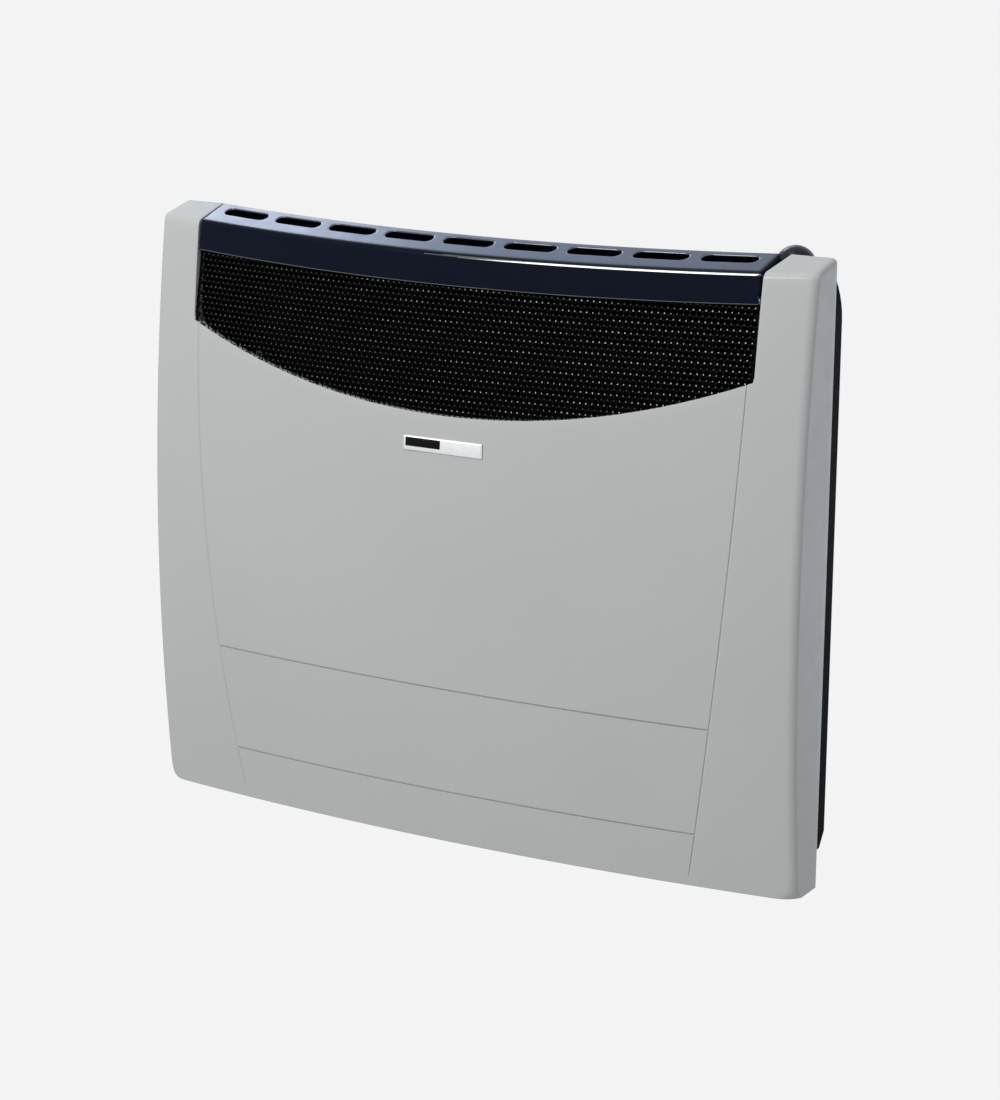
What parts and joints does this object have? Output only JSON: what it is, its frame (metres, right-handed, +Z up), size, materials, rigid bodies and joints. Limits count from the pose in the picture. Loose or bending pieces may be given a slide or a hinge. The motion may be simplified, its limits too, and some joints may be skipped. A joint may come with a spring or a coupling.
{
  "type": "wall mounted gas heater",
  "caption": "Wall-hung balanced-flue gas heater: bowed grey casing, curved perforated grille, slotted dark top cover, push-and-turn knob, sealed burner chamber and gas valve inside.",
  "frame": {"origin": "the point on the wall plane midway between the two hanging screws", "axes": "+X to the right seen from the room, +Y into the wall, +Z up"},
  "size_m": [0.72, 0.1505, 0.6097],
  "materials": {
    "grey_enamel": "satin enamel over pressed steel",
    "navy_gloss": "glossy blue-black plastic",
    "black_sheet": "fine matt black paint",
    "bright_badge": "polished, satin face",
    "black_inlay": "gloss black",
    "galvanised": "zinc coated",
    "chamber_enamel": "heat-proof enamel",
    "burner_aluminium": "aluminised steel and die casting",
    "brass": "machined",
    "fibre_gasket": "woven fibre board",
    "steel": "plated",
    "black_plastic": "moulded",
    "ceramic": "glazed insulator",
    "copper": "drawn copper",
    "sight_glass": "clear heat-proof glass"
  },
  "bodies": {
    "heater_body": {"front_casing": "grey_enamel", "vent_cover": "navy_gloss", "perforated_grille": "black_sheet", "badge_plate": "bright_badge", "badge_inlay": "black_inlay", "rear_chassis": "black_sheet", "top_deflector": "black_sheet", "casing_hook_right": "galvanised", "casing_hook_left": "galvanised", "cover_bracket_right": "galvanised", "cover_bracket_left": "galvanised", "lower_bracket_right": "galvanised", "lower_bracket_left": "galvanised", "casing_screw_left": "steel", "casing_screw_right": "steel", "upper_rail": "galvanised", "lower_rail": "galvanised", "chamber_rear_tray": "chamber_enamel", "chamber_gasket": "fibre_gasket", "chamber_front_tray": "chamber_enamel", "chamber_bolt_lower_left": "steel", "chamber_bolt_upper_left": "steel", "chamber_bolt_lower_right": "steel", "chamber_bolt_upper_right": "steel", "flue_baffle": "chamber_enamel", "exhaust_collar": "burner_aluminium", "exhaust_gasket": "fibre_gasket", "intake_collar": "burner_aluminium", "intake_gasket": "fibre_gasket", "sight_glass": "sight_glass", "sight_glass_frame": "galvanised", "burner_tube": "burner_aluminium", "burner_support_left": "galvanised", "burner_support_right": "galvanised", "burner_gasket": "fibre_gasket", "burner_plate": "galvanised", "gas_jet": "brass", "jet_holder": "brass", "pilot_bracket": "galvanised", "thermocouple": "copper", "pilot_burner": "brass", "ignition_electrode": "ceramic", "gas_valve": "burner_aluminium", "valve_bracket": "galvanised", "knob_shelf": "galvanised", "rod_bush": "black_plastic", "gas_inlet_nipple": "brass", "inlet_pipe": "steel", "inlet_bracket": "galvanised", "burner_supply_pipe": "copper", "pilot_pipe": "burner_aluminium", "thermocouple_lead": "copper", "ignition_wire": "black_plastic"},
    "valve_spindle_body": {"valve_spindle": "brass"},
    "knob_and_rod": {"extension_rod": "steel", "control_knob": "navy_gloss"}
  },
  "joints": [
    {"name": "knob_turn", "type": "hinge", "parent": "heater_body", "child": "valve_spindle_body", "pos_m": [0.3053, -0.0291, -0.27], "axis": [0, 0, 1], "range_deg": [0, 180]},
    {"name": "knob_press", "type": "slide", "parent": "valve_spindle_body", "child": "knob_and_rod", "axis": [0, 0, -1], "range_m": [0, 0.005], "stiffness_N_per_m": 1500, "springref_m": -0.005}
  ]
}
